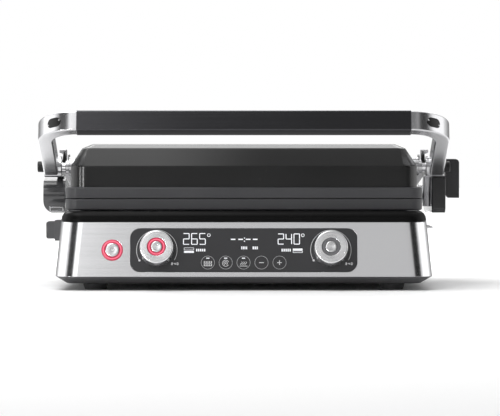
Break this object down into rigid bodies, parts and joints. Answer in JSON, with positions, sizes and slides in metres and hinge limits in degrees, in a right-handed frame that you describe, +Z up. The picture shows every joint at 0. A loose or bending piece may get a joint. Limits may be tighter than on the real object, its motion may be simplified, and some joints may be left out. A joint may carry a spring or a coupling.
{
  "type": "panini press",
  "caption": "Contact grill with a steel-wrapped base, ribbed non-stick plates, a floating cover on a U-shaped handle frame, two control dials and a side drip tray.",
  "frame": {"origin": "on the table, under the middle of the whole press with its lever", "axes": "+X to the right seen from the front, +Y towards the hinge at the back, +Z up"},
  "size_m": [0.4164, 0.3312, 0.17],
  "materials": {
    "black_plastic": "fine moulded texture",
    "black_rubber": "matt",
    "screw_steel": "zinc plated",
    "brushed_steel": "brushed along its length",
    "gloss_rim": "semi gloss",
    "panel_glass": "gloss, dark grey",
    "circuit_board": "lacquered",
    "switch_body": "moulded",
    "lit_red": "diffusing lens, lit",
    "unlit_lens": "diffusing lens",
    "heat_shield_steel": "aluminised sheet",
    "heater_sheath": "heat tinted",
    "thermostat_steel": "bright",
    "nonstick_plate": "satin non-stick coating",
    "bright_steel": "polished",
    "grip_anodised": "satin anodised",
    "core_aluminium": "as extruded",
    "arm_metal": "satin, polished at the corners",
    "cap_black": "satin",
    "gloss_black": "gloss",
    "housing_black": "gloss black enamel",
    "lug_grey": "satin",
    "dial_metal": "turned"
  },
  "bodies": {
    "base": {"base_tray": "black_plastic", "rubber_feet": "black_rubber", "base_screws": "screw_steel", "steel_band": "brushed_steel", "rear_cover": "black_plastic", "cord_gland": "black_rubber", "top_rim": "gloss_rim", "control_panel": "panel_glass", "display_module": "black_plastic", "control_board": "circuit_board", "power_board": "circuit_board", "left_encoder": "switch_body", "right_encoder": "switch_body", "power_switch": "switch_body", "power_light_ring": "lit_red", "left_light_ring": "lit_red", "right_light_ring": "unlit_lens", "lower_heat_tray": "heat_shield_steel", "lower_heater": "heater_sheath", "lower_thermostat": "thermostat_steel", "lower_plate": "nonstick_plate", "lower_plate_tabs": "bright_steel", "release_bezel": "black_plastic", "left_hinge_bracket": "screw_steel", "right_hinge_bracket": "screw_steel", "left_hinge_pin": "bright_steel", "right_hinge_pin": "bright_steel", "left_hinge_spring": "screw_steel", "right_hinge_spring": "screw_steel"},
    "arms": {"grip": "grip_anodised", "grip_core": "core_aluminium", "left_arm": "arm_metal", "right_arm": "arm_metal", "left_corner_cap": "cap_black", "right_corner_cap": "cap_black", "left_pivot_shaft": "bright_steel", "right_pivot_shaft": "bright_steel", "left_pivot_cap": "cap_black", "right_pivot_cap": "cap_black", "left_hinge_cover": "gloss_black", "right_hinge_cover": "gloss_black"},
    "cover": {"upper_housing": "housing_black", "left_pivot_lug": "lug_grey", "right_pivot_lug": "lug_grey", "upper_heat_shield": "heat_shield_steel", "upper_heater": "heater_sheath", "upper_thermostat": "thermostat_steel", "upper_plate": "nonstick_plate", "upper_plate_tabs": "bright_steel"},
    "left_dial": {"left_dial": "dial_metal"},
    "right_dial": {"right_dial": "dial_metal"},
    "left_push": {"left_push": "dial_metal"},
    "right_push": {"right_push": "dial_metal"},
    "power_button": {"power_button": "dial_metal"},
    "hinge_lever": {"hinge_lever": "gloss_black"},
    "lower_release": {"lower_release": "black_plastic"},
    "upper_release": {"upper_release": "black_plastic"},
    "drip_tray": {"drip_tray": "black_plastic", "drip_tray_front": "brushed_steel"}
  },
  "joints": [
    {"name": "arm_hinge", "type": "hinge", "parent": "base", "child": "arms", "pos_m": [-0.005, 0.147, 0.086], "axis": [-1, 0, 0], "range_deg": [0, 180]},
    {"name": "cover_tilt", "type": "hinge", "parent": "arms", "child": "cover", "pos_m": [-0.005, 0, 0.116], "axis": [-1, 0, 0], "range_deg": [-6, 0.5]},
    {"name": "left_dial_turn", "type": "hinge", "parent": "base", "child": "left_dial", "pos_m": [-0.087, -0.14592, 0.038], "axis": [0, -0.976, 0.2179], "range_deg": [-5, 235]},
    {"name": "right_dial_turn", "type": "hinge", "parent": "base", "child": "right_dial", "pos_m": [0.077, -0.14592, 0.038], "axis": [0, -0.976, 0.2179], "range_deg": [-5, 235]},
    {"name": "left_push_press", "type": "slide", "parent": "base", "child": "left_push", "axis": [0, 0.976, -0.2179], "range_m": [0, 0.002], "stiffness_N_per_m": 500},
    {"name": "right_push_press", "type": "slide", "parent": "base", "child": "right_push", "axis": [0, 0.976, -0.2179], "range_m": [0, 0.002], "stiffness_N_per_m": 500},
    {"name": "power_press", "type": "slide", "parent": "base", "child": "power_button", "axis": [0, 0.976, -0.2179], "range_m": [0, 0.002], "stiffness_N_per_m": 500},
    {"name": "lever_pull", "type": "slide", "parent": "arms", "child": "hinge_lever", "axis": [0, -1, 0], "range_m": [0, 0.01], "stiffness_N_per_m": 300},
    {"name": "lower_release_press", "type": "slide", "parent": "base", "child": "lower_release", "axis": [1, 0, 0], "range_m": [0, 0.003], "stiffness_N_per_m": 600},
    {"name": "upper_release_press", "type": "slide", "parent": "cover", "child": "upper_release", "axis": [1, 0, 0], "range_m": [0, 0.003], "stiffness_N_per_m": 600},
    {"name": "drip_tray_slide", "type": "slide", "parent": "base", "child": "drip_tray", "axis": [1, 0, 0], "range_m": [0, 0.2]}
  ],
  "couplings": [
    {"joint": "cover_tilt", "follows": "arm_hinge", "ratio": -0.033333}
  ]
}
